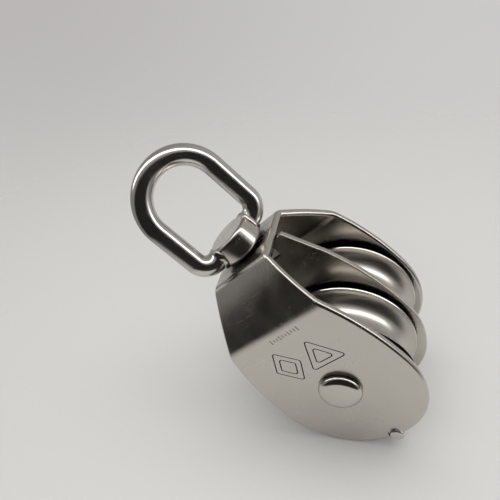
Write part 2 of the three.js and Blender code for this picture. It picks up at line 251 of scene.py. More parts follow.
def fold_bends():
    """Bends of the sheet's far half: the crease below the shoulder, the bowed shoulder, the crown's edge.
    Each is (centre in (y, z), outer radius, first angle, last angle)."""
    slope = math.atan2(CROWN_Z - CREASE_Z, CHEEK_Y - CROWN_Y)
    crease_turn = math.pi / 2 - slope
    first, last = crease_turn - SHOULDER_BOW / 2, crease_turn + SHOULDER_BOW / 2
    crease = Vector((CHEEK_Y - CREASE_BEND_R, CREASE_Z - CREASE_BEND_R * math.tan(crease_turn / 2)))
    rise = CROWN_Z - CROWN_BEND_R - crease.y
    rise += CROWN_BEND_R * math.sin(last) - CREASE_BEND_R * math.sin(first)
    bow_r = rise / (math.sin(last) - math.sin(first))
    bow = crease - (bow_r - CREASE_BEND_R) * Vector((math.cos(first), math.sin(first)))
    crown = bow + (bow_r - CROWN_BEND_R) * Vector((math.cos(last), math.sin(last)))
    return [
        (crease, CREASE_BEND_R, 0, first),
        (bow, bow_r, first, last),
        (crown, CROWN_BEND_R, last, math.pi / 2),
    ]


BENDS = fold_bends()
BENDS_START = BENDS[0][0].y
MIDDLE = BENDS_START + sum(radius * (last - first) for _, radius, first, last in BENDS) + BENDS[-1][0].x


def folded(x, along, depth):
    """Puts a point of the flat blank in its place on the bent sheet. along runs up the outer face of the
    far cheek, over the crown and down the near cheek, and depth goes from the outer face inward."""
    if along > MIDDLE:
        _, y, z = folded(x, 2 * MIDDLE - along, depth)
        return x, -y, z
    start = BENDS_START
    if along <= start:
        return x, CHEEK_Y - depth, along
    for centre, radius, first, last in BENDS:
        length = radius * (last - first)
        if along <= start + length:
            angle = first + (along - start) / radius
            reach = radius - depth
            return x, centre.x + reach * math.cos(angle), centre.y + reach * math.sin(angle)
        start += length
    return x, BENDS[-1][0].x - (along - start), CROWN_Z - depth


def blank_outline():
    """Right side of the flat blank in (x, along), from the far cheek's foot to the near cheek's."""
    points = side_outline(BENDS_START)
    along = BENDS_START
    for (_, radius, first, last), steps in zip(BENDS, (10, 12, 8)):
        length = radius * (last - first)
        for i in range(1, steps + 1):
            place = along + length * i / steps
            points.append((half_width_at(folded(0, place, 0)[2]), place))
        along += length
    return points + [(x, 2 * MIDDLE - place) for x, place in reversed(points)]


# ---------------------------------------------------------------- meshes


def band(bm, low, high):
    """Joins two loops with the same number of points by a closed band of faces."""
    for i in range(len(low)):
        j = (i + 1) % len(low)
        bm.faces.new((low[i], low[j], high[j], high[i]))


def facing_out(bm):
    bmesh.ops.recalc_face_normals(bm, faces=bm.faces)
    return bm


def prism(outline, half_length):
    """A closed outline in (x, z), extruded both ways along Y."""
    bm = bmesh.new()
    ends = [[bm.verts.new((x, y, z)) for x, z in outline] for y in (-half_length, half_length)]
    for end in ends:
        bm.faces.new(end)
    band(bm, *ends)
    return facing_out(bm)


def rounded_plate(side, place, thickness, radius, steps=6):
    """A plate with rounded edges and mirrored sides. side is its right edge in (x, along), from end to end,
    and place(x, along, depth) puts a point of the plate in space."""
    angles = [math.pi / 2 * i / steps for i in range(steps + 1)]
    corner = [(radius * (1 - math.sin(a)), radius * (1 - math.cos(a))) for a in angles]
    levels = corner + [(inset, thickness - depth) for inset, depth in reversed(corner)]
    bm = bmesh.new()
    rows = []
    for i, (x, along) in enumerate(side):
        here = Vector((x, along))
        previous = Vector(side[i - 1]) if i else Vector((-x, along))
        following = Vector(side[i + 1]) if i + 1 < len(side) else Vector((-x, along))
        outward = mitre(previous, here, following)
        points = [(*(here - outward * inset), depth) for inset, depth in levels]
        right = [bm.verts.new(place(a, b, depth)) for a, b, depth in points]
        left = [bm.verts.new(place(-a, b, depth)) for a, b, depth in points]
        rows.append((right, left))
    for (low_right, low_left), (high_right, high_left) in zip(rows, rows[1:]):
        band(bm, low_right + low_left[::-1], high_right + high_left[::-1])
    for right, left in (rows[0], rows[-1]):
        for k in range(len(right) - 1):
            bm.faces.new((right[k], right[k + 1], left[k + 1], left[k]))
    return facing_out(bm)


def lathe(profile, segments=128, axis="Y"):
    """A body of revolution. Profile points are (radius, height), and the profile either starts and ends on
    the axis or closes on itself."""
    bm = bmesh.new()
    rows = []
    for radius, height in profile:
        count = segments if radius > 1e-6 else 1
        row = []
        for i in range(count):
            angle = 2 * math.pi * i / count
            a, b = radius * math.cos(angle), radius * math.sin(angle)
            row.append(bm.verts.new((a, height, b) if axis == "Y" else (a, b, height)))
        rows.append(row)
    closed = len(rows[0]) > 1
    for k in range(len(rows) if closed else len(rows) - 1):
        low, high = rows[k], rows[(k + 1) % len(rows)]
        for i in range(segments):
            corners = [low[i % len(low)], low[(i + 1) % len(low)]]
            corners += [high[(i + 1) % len(high)], high[i % len(high)]]
            bm.faces.new(list(dict.fromkeys(corners)))
    return facing_out(bm)


def ring(inner_r, outer_r, low, high, rounding=0.25, segments=96, axis="Y"):
    """A plain ring between two heights, with rounded edges."""
    corners = [(inner_r, low), (outer_r, low), (outer_r, high), (inner_r, high)]
    return lathe(rounded_outline(corners, rounding), segments, axis)


def round_cutter(radius, half_length, segments=128, axis="Y"):
    """A plain cylinder that cuts a round hole."""
    profile = [(0, -half_length), (radius, -half_length), (radius, half_length), (0, half_length)]
    return lathe(profile, segments, axis)


def tube(stations, radius_at, sides, closed=False):
    """A round bar along stations of (point, normal, binormal). Its radius is radius_at(station, side)."""
    bm = bmesh.new()
    rings = []
    for i, (point, normal, binormal) in enumerate(stations):
        loop = []
        for k in range(sides):
            angle = 2 * math.pi * k / sides
            spoke = normal * math.cos(angle) + binormal * math.sin(angle)
            loop.append(bm.verts.new(point + spoke * radius_at(i, k)))
        rings.append(loop)
    count = len(rings)
    for i in range(count if closed else count - 1):
        band(bm, rings[i], rings[(i + 1) % count])
    if not closed:
        for loop in (rings[0], rings[-1]):
            middle = bm.verts.new(sum((v.co for v in loop), Vector()) / sides)
            for k in range(sides):
                bm.faces.new((loop[k], loop[(k + 1) % sides], middle))
    return facing_out(bm)


def join(*parts):
    """Several bmeshes as one. The parts are used up."""
    whole = bmesh.new()
    for part in parts:
        mesh = bpy.data.meshes.new("part")
        part.to_mesh(mesh)
        part.free()
        whole.from_mesh(mesh)
        bpy.data.meshes.remove(mesh)
    return whole


def moved(bm, x=0.0, y=0.0, z=0.0, turn=0.0, axis="Z"):
    """Turns a bmesh about an axis through the origin, then shifts it."""
    bm.transform(Matrix.Translation((x, y, z)) @ Matrix.Rotation(turn, 4, axis))
    return bm


def as_object(bm, name):
    """Makes a bmesh, which is used up, into an object of the scene."""
    mesh = bpy.data.meshes.new(name)
    bm.to_mesh(mesh)
    bm.free()
    made = bpy.data.objects.new(name, mesh)
    bpy.context.scene.collection.objects.link(made)
    return made


def cut(first, second):
    """Takes the second bmesh away from the first. Both are used up."""
    body, tool = as_object(first, "body"), as_object(second, "tool")
    modifier = body.modifiers.new("cut", "BOOLEAN")
    modifier.object = tool
    modifier.operation = "DIFFERENCE"
    modifier.solver = "EXACT"
    bpy.context.view_layer.update()
    mesh = bpy.data.meshes.new_from_object(body.evaluated_get(bpy.context.evaluated_depsgraph_get()))
    result = bmesh.new()
    result.from_mesh(mesh)
    bmesh.ops.remove_doubles(result, verts=result.verts, dist=1e-4)
    for made in (body, tool):
        data = made.data
        bpy.data.objects.remove(made)
        bpy.data.meshes.remove(data)
    bpy.data.meshes.remove(mesh)
    return result


SHARP = math.radians(40)  # faces that meet at a larger angle are shaded apart


def add_piece(name, bm, material, node=None, body=None, bevel=0.0):
    """Puts a bmesh drawn in millimetres round the axle into the object's frame, as a piece on its body."""
    bm.transform(Matrix.Translation(AXLE) @ Matrix.Scale(MM, 4))
    for face in bm.faces:
        face.smooth = True
    for edge in bm.edges:
        edge.smooth = edge.is_manifold and edge.calc_face_angle() < SHARP
    made = as_object(bm, name)
    made.data.materials.append(MATERIALS[material])
    if bevel:
        rounding = made.modifiers.new("rounding", "BEVEL")
        rounding.width = bevel * MM
        rounding.segments = 3
        rounding.limit_method = "ANGLE"
        rounding.angle_limit = math.radians(50)
    weighted = made.modifiers.new("weighted", "WEIGHTED_NORMAL")
    weighted.weight = 90
    weighted.keep_sharp = True
    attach(made, body or BODY_OF[node])
    if node:
        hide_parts(node)


# ---------------------------------------------------------------- materials

SHADE_REACH = 30  # reach of the ambient occlusion that paints shade into narrow places, in millimetres
SHADE_OPENNESS = (0.12, 0.48)  # openness over which the painted shade gives way to clean metal
# colour of the painted shade: near-black in hollows, between parts and near the floor
PAINTED_SHADE_COLOUR = (0.07, 0.068, 0.062, 1)
EDGE_REACH = 0.5  # width of the brighter wear along an edge, in millimetres
EDGE_WEAR = 0.35
EDGE_COLOUR = (0.86, 0.85, 0.82, 1)
HAIRLINE_DEPTH = 0.004


def add_node(tree, kind, inputs=None, **settings):
    """Adds a shader node. Inputs are sockets to link or values to set."""
    made = tree.nodes.new(kind)
    for key, value in settings.items():
        setattr(made, key, value)
    for key, value in (inputs or {}).items():
        if isinstance(value, bpy.types.NodeSocket):
            tree.links.new(value, made.inputs[key])
        else:
            made.inputs[key].default_value = value
    return made


def math_node(tree, operation, *values):
    return add_node(tree, "ShaderNodeMath", dict(enumerate(values)), operation=operation).outputs[0]


def remap(tree, value, low, high, to_low=0.0, to_high=1.0):
    inputs = {"Value": value, "From Min": low, "From Max": high, "To Min": to_low, "To Max": to_high}
    return add_node(tree, "ShaderNodeMapRange", inputs, interpolation_type="SMOOTHSTEP").outputs[0]


def noise_at(tree, place, scale, detail=2.0, roughness=0.5):
    inputs = {"Vector": place, "Scale": scale, "Detail": detail, "Roughness": roughness}
    return add_node(tree, "ShaderNodeTexNoise", inputs).outputs["Fac"]


def stretched(tree, place, scale, turn):
    inputs = {"Vector": place, "Rotation": turn, "Scale": scale}
    return add_node(tree, "ShaderNodeMapping", inputs).outputs["Vector"]


def mixed(tree, factor, first, second):
    made = add_node(tree, "ShaderNodeMix", {"Factor": factor}, data_type="RGBA")
    for socket, value in ((made.inputs[6], first), (made.inputs[7], second)):
        if isinstance(value, bpy.types.NodeSocket):
            tree.links.new(value, socket)
        else:
            socket.default_value = value
    return made.outputs[2]


def bumped(tree, height, distance, below=None):
    inputs = {"Height": height, "Distance": distance * MM, "Strength": 1.0}
    if below is not None:
        inputs["Normal"] = below
    return add_node(tree, "ShaderNodeBump", inputs).outputs["Normal"]


def spun_coordinates(tree, place, axis):
    """(distance from the axis, height along it, 0), so that noise makes rings round the axis."""
    separate = add_node(tree, "ShaderNodeSeparateXYZ", {0: place}).outputs
    first, second, along = {"Y": ("X", "Z", "Y"), "Z": ("X", "Y", "Z")}[axis]
    middle = {"X": AXLE.x / MM, "Y": AXLE.y / MM, "Z": AXLE.z / MM}
    squares = []
    for letter in (first, second):
        offset = math_node(tree, "SUBTRACT", separate[letter], middle[letter])
        squares.append(math_node(tree, "MULTIPLY", offset, offset))
    distance = math_node(tree, "SQRT", math_node(tree, "ADD", *squares))
    return add_node(tree, "ShaderNodeCombineXYZ", {"X": distance, "Y": separate[along]}).outputs[0]


def metal(
    name, colour, roughness, grain=0.004, wave=0.02, pits=0.0, spun=None, uneven=0.05, shade_openness=SHADE_OPENNESS, lip=None
):
    """A bare metal. grain, wave and pits are depths in millimetres, spun names the axis it was turned about
    and uneven is the spread of its roughness. Beyond the radius lip, a turned piece is polished."""
    material = bpy.data.materials.new(name)
    material.use_nodes = True
    tree = material.node_tree
    tree.nodes.clear()
    metres = add_node(tree, "ShaderNodeTexCoord").outputs["Object"]
    inputs = {0: metres, "Scale": 1 / MM}
    place = add_node(tree, "ShaderNodeVectorMath", inputs, operation="SCALE").outputs[0]

    finish = place
    if spun:
        finish = spun_coordinates(tree, place, spun)
        from_axis = add_node(tree, "ShaderNodeSeparateXYZ", {0: finish}).outputs["X"]
    scratch = noise_at(tree, finish, 3.0, detail=4.0, roughness=0.6)
    broad = noise_at(tree, place, 0.05, detail=1.0)
    cloud = noise_at(tree, place, 0.14, detail=5.0, roughness=0.62)
    speck = noise_at(tree, place, 5.0, detail=2.0)

    crossing = stretched(tree, place, (0.05, 2.2, 2.2), turn=(0.5, 0.7, 0.4))
    hairline = remap(tree, noise_at(tree, crossing, 1.3, detail=3.0), 0.68, 0.75)

    normal = bumped(tree, broad, wave * 10)
    normal = bumped(tree, scratch, grain, normal)
    normal = bumped(tree, speck, grain * 0.4, normal)
    normal = bumped(tree, hairline, -HAIRLINE_DEPTH, normal)
    if pits:
        cells = add_node(tree, "ShaderNodeTexVoronoi", {"Vector": place, "Scale": 0.16})
        chosen = remap(tree, noise_at(tree, place, 0.21, detail=0.0), 0.55, 0.62)
        pit = math_node(tree, "MULTIPLY", remap(tree, cells.outputs["Distance"], 0.055, 0.02), chosen)
        normal = bumped(tree, pit, -pits, normal)

    rough = remap(tree, cloud, 0.3, 0.7, roughness - uneven, roughness + uneven)
    rough = math_node(tree, "ADD", rough, math_node(tree, "MULTIPLY", hairline, 0.08))
    if lip:
        rough = math_node(tree, "MULTIPLY", rough, remap(tree, from_axis, lip, lip + 0.2, 1.0, 0.4))
    tint = mixed(tree, cloud, [c * 0.9 for c in colour] + [1], [min(1, c * 1.08) for c in colour] + [1])

    # Painted shade: the colour darkens towards near-black where ambient occlusion finds the metal hemmed
    # in.
    openness = add_node(tree, "ShaderNodeAmbientOcclusion", {"Distance": SHADE_REACH * MM}, samples=4)
    tint = mixed(tree, remap(tree, openness.outputs["AO"], *shade_openness), PAINTED_SHADE_COLOUR, tint)

    rounded = add_node(tree, "ShaderNodeBevel", {"Radius": EDGE_REACH * MM}, samples=4).outputs[0]
    true_normal = add_node(tree, "ShaderNodeNewGeometry").outputs["Normal"]
    facing = add_node(tree, "ShaderNodeVectorMath", {0: rounded, 1: true_normal}, operation="DOT_PRODUCT")
    edge = remap(tree, facing.outputs["Value"], 0.995, 0.9)
    tint = mixed(tree, math_node(tree, "MULTIPLY", edge, EDGE_WEAR), tint, EDGE_COLOUR)

    inputs = {"Base Color": tint, "Metallic": 1.0, "Roughness": rough, "Normal": normal}
    if spun:
        tangent = add_node(tree, "ShaderNodeTangent", direction_type="RADIAL", axis=spun).outputs[0]
        inputs.update({"Anisotropic": 0.5, "Tangent": tangent})
    shader = add_node(tree, "ShaderNodeBsdfPrincipled", inputs).outputs[0]
    add_node(tree, "ShaderNodeOutputMaterial", {"Surface": shader})
    return material


SATIN = (0.60, 0.565, 0.52)
POLISHED = (0.66, 0.64, 0.605)
BRASS = (0.62, 0.43, 0.17)
WELD = (0.56, 0.52, 0.49)
# The sheave grooves get painted shade only where they are most hemmed in.
GROOVE_SHADE_OPENNESS = (0.0, 0.15)
LIP_START = SHEAVE_R - 0.6

MATERIALS = {
    "sheet": metal("satin_sheet", SATIN, 0.23, grain=0.0025, wave=0.03, pits=0.03),
    "polished": metal("polished_bar", POLISHED, 0.165, grain=0.001, wave=0.01, uneven=0.03),
    "head": metal("riveted_head", SATIN, 0.14, grain=0.003, wave=0.04, pits=0.02),
    "turned": metal(
        "turned_groove",
        SATIN,
        0.31,
        grain=0.0015,
        wave=0.008,
        spun="Y",
        uneven=0.03,
        shade_openness=GROOVE_SHADE_OPENNESS,
        lip=LIP_START,
    ),
    "boss": metal("turned_boss", SATIN, 0.2, grain=0.004, wave=0.02, spun="Z", pits=0.03),
    "ground": metal("ground_ring", POLISHED, 0.16, grain=0.001, wave=0.0, spun="Y", uneven=0.02),
    "brass": metal("cage_brass", BRASS, 0.3, grain=0.003, wave=0.01),
    "weld": metal("weld_bead", WELD, 0.2, grain=0.006, wave=0.05, uneven=0.08),
}

# ---------------------------------------------------------------- marks pressed in the near cheek

MARK_WIDTH = 0.42
MARK_DEPTH = 0.75
MARK_ROUNDING = 0.8
MARK_LIFT = 0.1  # how far a cutter starts outside the cheek
TRIANGLE_X, TRIANGLE_Z = 6.0, 15.6
TRIANGLE_SIZES = (8.0, 4.2)
LOZENGE_X, LOZENGE_Z = -6.6, 17.6
LOZENGE_WIDTH, LOZENGE_HEIGHT = 5.4, 7.6
LOZENGE_SCALES = (1, 0.58)
TICK_X, TICK_Z = -3.0, 28.9
TICK_COUNT = 10
TICK_PITCH = 1.25
TICK_DEPTH = 0.35
TICK_SHORT, TICK_LONG = 1.2, 1.9


def triangle_mark(size):
    angles = [math.radians(90 + 120 * k) for k in range(3)]
    return [(size * math.cos(angle), size * math.sin(angle)) for angle in angles]


def lozenge_mark(width, height):
    return [(width, 0), (0, height), (-width, 0), (0, -height)]


def groove_section(depth):
    """Section of a cutter for a V-shaped groove that is MARK_WIDTH wide, in (sideways, inward)."""
    reach = MARK_WIDTH / 2 * (1 + MARK_LIFT / depth)
    return [(reach, -MARK_LIFT), (-reach, -MARK_LIFT), (0, depth)]


def groove_cutter(outline):
    """Cuts a groove along a closed outline in (x, z)."""
    count = len(outline)
    corners = [Vector(point) for point in outline]
    bm = bmesh.new()
    rings = []
    for i, here in enumerate(corners):
        side = mitre(corners[i - 1], here, corners[(i + 1) % count])
        loop = []
        for across, inward in groove_section(MARK_DEPTH):
            place = here + side * across
            loop.append(bm.verts.new((place.x, inward, place.y)))
        rings.append(loop)
    for i in range(count):
        band(bm, rings[i], rings[(i + 1) % count])
    return facing_out(bm)


def tick_cutter(length):
    """Cuts a short nick along Z."""
    section = groove_section(TICK_DEPTH)
    bm = bmesh.new()
    ends = [[bm.verts.new((x, y, z)) for x, y in section] for z in (-length / 2, length / 2)]
    for end in ends:
        bm.faces.new(end)
    band(bm, *ends)
    return facing_out(bm)


def cheek_marks():
    """Cutters for a double triangle, a double lozenge and a row of ticks."""
    tools = []
    for size in TRIANGLE_SIZES:
        outline = rounded_outline(triangle_mark(size), MARK_ROUNDING)
        tools.append(moved(groove_cutter(outline), TRIANGLE_X, -CHEEK_Y, TRIANGLE_Z))
    for scale in LOZENGE_SCALES:
        lozenge = lozenge_mark(LOZENGE_WIDTH * scale, LOZENGE_HEIGHT * scale)
        outline = rounded_outline(lozenge, MARK_ROUNDING)
        tools.append(moved(groove_cutter(outline), LOZENGE_X, -CHEEK_Y, LOZENGE_Z))
    for i in range(TICK_COUNT):
        length = TICK_LONG if i % 3 == 0 else TICK_SHORT
        tools.append(moved(tick_cutter(length), TICK_X + TICK_PITCH * i, -CHEEK_Y, TICK_Z))
    return join(*tools)


# ---------------------------------------------------------------- folded strap and partition


def bar_holes():
    """Cutters for the axle and the tie rod."""
    axle_hole = round_cutter(AXLE_R + FIT, THROUGH)
    rod_hole = moved(round_cutter(ROD_R + FIT, THROUGH, 64), z=ROD_Z)
    return join(axle_hole, rod_hole)


def strap():
    stem_hole = moved(round_cutter(STEM_R + STEM_PLAY, STEM_CUT, axis="Z"), z=CROWN_Z)
    shell = rounded_plate(blank_outline(), folded, SHEET, EDGE)
    shell = cut(shell, join(bar_holes(), stem_hole))
    shell = cut(shell, cheek_marks())
    add_piece("strap_sheet", shell, "sheet", "side_strap")


def partition():
    side = side_outline(CREASE_Z) + [(half_width_at(PARTITION_TOP_Z), PARTITION_TOP_Z)]
    side = [(x + PARTITION_OVERHANG, z) for x, z in side]
    thickness = 2 * PARTITION_Y
    plate = rounded_plate(side, lambda x, z, depth: (x, depth - PARTITION_Y, z), thickness, PARTITION_EDGE)
    w, floor_z, top = SLOT_HALF_WIDTH, SLOT_FLOOR_Z, PARTITION_TOP_Z + 5
    slot = prism(filleted([(w, top), (w, floor_z, 1), (-w, floor_z, 1), (-w, top)]), thickness)
    plate = cut(plate, slot)
    plate = cut(plate, bar_holes())
    add_piece("partition_sheet", plate, "sheet", "partition_plate")


# ---------------------------------------------------------------- rod, axle and welds

HEAD_DOME = 0.2  # rise of an axle head's middle
HEAD_SIDE = 0.8
ROD_WELD_REACH = 0.7
ROD_WELD_LIFT = 0.85  # thicker above the rod, where the plate is, than below
ROD_WELD_ROOT = 0.1
ROD_WELD_HIDDEN = 0.3  # how far a bead carries on inside its plate
LUMP_SEED = 1


def tie_rod():
    end = ROD_END_Y
    profile = filleted([(0, -end), (ROD_R, -end, 0.6), (ROD_R, end, 0.6), (0, end)])
    add_piece("tie_rod_bar", moved(lathe(profile, 64), z=ROD_Z), "polished", "tie_rod")


def axle():
    seat = CHEEK_Y + FIT
    shoulder = seat + HEAD_SIDE
    rise = HEAD_TOP_Y - HEAD_DOME - seat - HEAD_SIDE
    half = [(0, HEAD_TOP_Y), (HEAD_FLAT_R / 2, HEAD_TOP_Y - HEAD_DOME * 0.22)]
    half += arc((HEAD_FLAT_R, shoulder), (HEAD_R - HEAD_FLAT_R, rise), math.pi / 2, 0, 14)
    half += filleted([(HEAD_R, shoulder), (HEAD_R, seat, 0.25), (AXLE_R, seat)])[1:]
    add_piece("axle_rivet", lathe(half + mirrored(half)), "head", "axle_pin")


def lumpy(bm, amount, scale):
    """Pushes every point a little, as molten metal sets. The lumps are the same each time."""
    noise.seed_set(LUMP_SEED)
    for v in bm.verts:
        v.co += noise.noise_vector(v.co * scale) * amount
    return bm


def rod_weld(y, direction, length=1.6):
    """A bead round the tie rod, spreading along it in direction from a plate's face at y."""
    root = ROD_R - ROD_WELD_ROOT
    toe_r = root + ROD_WELD_REACH
    toe = arc((toe_r, length), (ROD_WELD_REACH, length), math.pi, 1.5 * math.pi, 8)
    profile = [(radius, y + direction * along) for radius, along in toe]
    hidden = y - direction * ROD_WELD_HIDDEN
    profile += [(toe_r, hidden), (root, hidden)]
    return lumpy(moved(lathe(profile, 40), z=ROD_Z + ROD_WELD_LIFT), 0.14, 0.7)


def welds_of_frame():
    inside = CHEEK_Y - SHEET
    beads = [rod_weld(sign * inside, -sign) for sign in (-1, 1)]
    beads += [rod_weld(sign * PARTITION_Y, sign) for sign in (-1, 1)]
    beads += [rod_weld(sign * CHEEK_Y, sign, 0.4) for sign in (-1, 1)]
    add_piece("tie_rod_welds", join(*beads), "weld", body="frame")


# ---------------------------------------------------------------- sheaves and bearings


def sheave(side, centre_y):
    half = [
        (BEARING_R + FIT, 0),
        (BEARING_R + FIT, DISH_HALF_WIDTH, 0.35),
        (DISH_INNER_R, DISH_HALF_WIDTH, 1.2),
        (DISH_OUTER_R, RIM_Y, 0.5),
        (SHEAVE_R, RIM_Y, 0.12),
        (SHEAVE_R - RIM_WEAR, RIM_Y - RIM_LIP, 0.15),
    ]
    groove = arc((SHEAVE_R, 0), (GROOVE_DEPTH, RIM_Y - RIM_LIP), math.pi / 2, math.pi, 22)
    upper = filleted(half + [groove[1]])[:-1] + groove[1:]
    wheel = moved(lathe(upper + mirrored(upper[1:-1]), 160), y=centre_y)
    add_piece(f"sheave_{side}_wheel", wheel, "turned", f"sheave_{side}")


def inner_ring(side, centre_y):
    half = [
        (AXLE_R + FIT, 0),
        (AXLE_R + FIT, -BEARING_HALF, 0.3),
        (INNER_SHOULDER_R, -BEARING_HALF, 0.2),
        (INNER_SHOULDER_R, 0),
    ]
    end = filleted(half)[1:-1]
    reach = math.acos((BALL_PITCH_R - INNER_SHOULDER_R) / RACE_R)
    race = arc((BALL_PITCH_R, 0), RACE_R, math.pi + reach, math.pi - reach, 12)
    made = moved(lathe(end + race + mirrored(end), 96), y=centre_y)
    add_piece(f"inner_ring_{side}", made, "ground", f"bearing_inner_ring_{side}")


def outer_ring(side, centre_y):
    seat = SHIELD_Y - SHIELD / 2 - FIT
    half = [
        (BEARING_R, 0),
        (BEARING_R, BEARING_HALF, 0.35),
        (SHIELD_SEAT_R, BEARING_HALF, 0.12),
        (SHIELD_SEAT_R, seat),
        (OUTER_SHOULDER_R, seat),
    ]
    end = filleted(half)[1:]
    reach = math.acos((OUTER_SHOULDER_R - BALL_PITCH_R) / RACE_R)
    race = arc((BALL_PITCH_R, 0), RACE_R, reach, -reach, 12)
    made = moved(lathe(end + race + mirrored(end), 96), y=centre_y)
    add_piece(f"outer_ring_{side}", made, "ground", f"bearing_outer_ring_{side}")


def shield_and_spacer(side, end, centre_y, sign):
    """The parts on one side of a bearing. sign is the direction along Y from the bearing's middle."""
    shield = ring(SHIELD_BORE_R, SHIELD_SEAT_R - FIT, -SHIELD / 2, SHIELD / 2, 0.08)
    shield = moved(shield, y=centre_y + sign * SHIELD_Y)
    add_piece(f"shield_{side}_{end}", shield, "ground", f"bearing_shield_{side}_{end}")
    low, high = span(f"spacer_{side}_{end}")
    spacer = ring(AXLE_R + FIT, SPACER_R, low.y, high.y)
    add_piece(f"sleeve_{side}_{end}", spacer, "turned", f"spacer_{side}_{end}")


def cage(side, centre_y):
    hoop = ring(CAGE_INNER_R, CAGE_OUTER_R, -CAGE_HALF, CAGE_HALF, 0.2, 112)
    pockets = []
    for i in range(BALL_COUNT):
        pocket = moved(round_cutter(CAGE_POCKET_R, 3, 40, "Z"), z=BALL_PITCH_R)
        pockets.append(moved(pocket, turn=2 * math.pi * i / BALL_COUNT, axis="Y"))
    hoop = moved(cut(hoop, join(*pockets)), y=centre_y)
    add_piece(f"cage_{side}", hoop, "brass", f"bearing_cage_{side}", bevel=0.12)


def balls(side):
    for i in range(1, BALL_COUNT + 1):
        low, high = span(f"ball_{side}_{i}")
        ball = bmesh.new()
        bmesh.ops.create_icosphere(ball, subdivisions=4, radius=BALL_R)
        ball = moved(ball, *(low + high) / 2)
        add_piece(f"ball_{side}_{i}_ground", ball, "ground", f"ball_{side}_{i}")


# ---------------------------------------------------------------- swivel and eye

EYE_CORNER_STEPS = 20
EYE_ARCH_STEPS = 48
EYE_BITE = 0.25  # how far the bar's ends run into the boss
EYE_WELD_R = 1.5
EYE_WELD_INSET = 0.35  # of the bead's middle, inside the bar's surface
EYE_WELD_SINK = 0.5  # of the bead's middle, below the boss's surface
EYE_WELD_MARGIN = 1.4  # of the bead's middle, below the boss's top
RIPPLE = 0.07
RIPPLE_COUNT = 9


def stud():
    foot_top = WASHER_LOW.z - FOOT_GAP
    corners = [
        (0, FOOT_BOTTOM_Z),
        (FOOT_R, FOOT_BOTTOM_Z, 1.1),
        (FOOT_R, foot_top, 0.3),
        (STEM_R, foot_top),
        (STEM_R, BOSS_FOOT_Z),
        (BOSS_FOOT_R, BOSS_FOOT_Z, BOSS_EDGE),
        (BOSS_WAIST_R, (BOSS_FOOT_Z + BOSS_TOP_Z) / 2),
        (BOSS_TOP_R, BOSS_TOP_Z, BOSS_EDGE),
        (0, BOSS_TOP_Z),
    ]
    add_piece("swivel_boss", lathe(filleted(corners, 8), axis="Z"), "boss", "swivel_stud")


def washer():
    made = ring(STEM_R + 2 * FIT, WASHER_HIGH.x, WASHER_LOW.z, WASHER_HIGH.z, segments=128, axis="Z")
    add_piece("foot_washer", made, "boss", "swivel_washer")


def eye_stations():
    """Stations along the eye's bar, from one side of the boss round to the other, in the plane of XZ."""
    bend_x, bend_z = EYE_HALF_WIDTH - EYE_CORNER_R, EYE_WELD_Z + EYE_CORNER_R
    half = [(BOSS_TOP_R * 0.8, EYE_WELD_Z, -math.pi / 2)]
    for i in range(EYE_CORNER_STEPS + 1):
        angle = -math.pi / 2 + math.pi / 2 * i / EYE_CORNER_STEPS
        x, z = bend_x + EYE_CORNER_R * math.cos(angle), bend_z + EYE_CORNER_R * math.sin(angle)
        half.append((x, z, angle))
    for i in range(EYE_ARCH_STEPS + 1):
        angle = math.pi / 2 * i / EYE_ARCH_STEPS
        x, z = EYE_HALF_WIDTH * math.cos(angle), EYE_ARCH_Z + EYE_HALF_WIDTH * math.sin(angle)
        half.append((x, z, angle))
    whole = half + [(-x, z, math.pi - angle) for x, z, angle in reversed(half[:-1])]
    stations = []
    for x, z, angle in whole:
        normal = Vector((math.cos(angle), 0, math.sin(angle)))
        stations.append((Vector((x, 0, z)), normal, Vector((0, 1, 0))))
    return stations


def eye():
    bar = tube(eye_stations(), lambda station, side: EYE_BAR_R, 56)
    inside = BOSS_WAIST_R - EYE_BITE
    for v in bar.verts:
        reach = math.hypot(v.co.x, v.co.y)
        if v.co.z < EYE_WELD_Z + EYE_BAR_R + 0.1 and reach < inside:
            v.co.x = math.copysign(math.sqrt(inside**2 - v.co.y**2), v.co.x)
    add_piece("eye_bar", moved(bar, turn=EYE_ANGLE), "polished", "eye_bail")


def eye_weld(sign):
    """A bead round one end of the eye's bar, where it meets the side of the boss."""
    count = 72
    around = EYE_BAR_R - EYE_WELD_INSET
    points = []
    for i in range(count):
        angle = 2 * math.pi * i / count
        y = around * math.cos(angle)
        z = min(EYE_WELD_Z + around * math.sin(angle), BOSS_TOP_Z - EYE_WELD_MARGIN)
        surface = BOSS_WAIST_R - EYE_WELD_SINK
        if z > BOSS_TOP_Z - BOSS_EDGE:
            rise = z - BOSS_TOP_Z + BOSS_EDGE
            surface -= BOSS_EDGE - math.sqrt(max(BOSS_EDGE**2 - rise**2, 0))
        points.append(Vector((sign * math.sqrt(surface**2 - y**2), y, z)))
    stations = []
    for i, point in enumerate(points):
        along = (points[(i + 1) % count] - points[i - 1]).normalized()
        outward = Vector((0, point.y, point.z - EYE_WELD_Z)).normalized()
        normal = (outward - along * outward.dot(along)).normalized()
        stations.append((point, normal, along.cross(normal)))

    def rippled(station, _side):
        return EYE_WELD_R + RIPPLE * math.sin(station * 2 * math.pi * RIPPLE_COUNT / count)

    return lumpy(tube(stations, rippled, 24, closed=True), 0.35, 0.4)


def eye_welds():
    beads = moved(join(eye_weld(-1), eye_weld(1)), turn=EYE_ANGLE)
    add_piece("eye_welds", beads, "weld", body="eye")


# ---------------------------------------------------------------- studio

FLOOR_HALF = 0.9  # metres, as are the fades
FLOOR_FADE = (0.05, 0.4)  # where the floor gives way to the backdrop
MIRRORED_MIDDLE = RIGHT * 10 - FORWARD * 35  # middle of the floor that metal reflects, in millimetres
MIRRORED_FADE = (0.07, 0.17)
FLOOR_COLOUR = (0.66, 0.655, 0.64, 1)
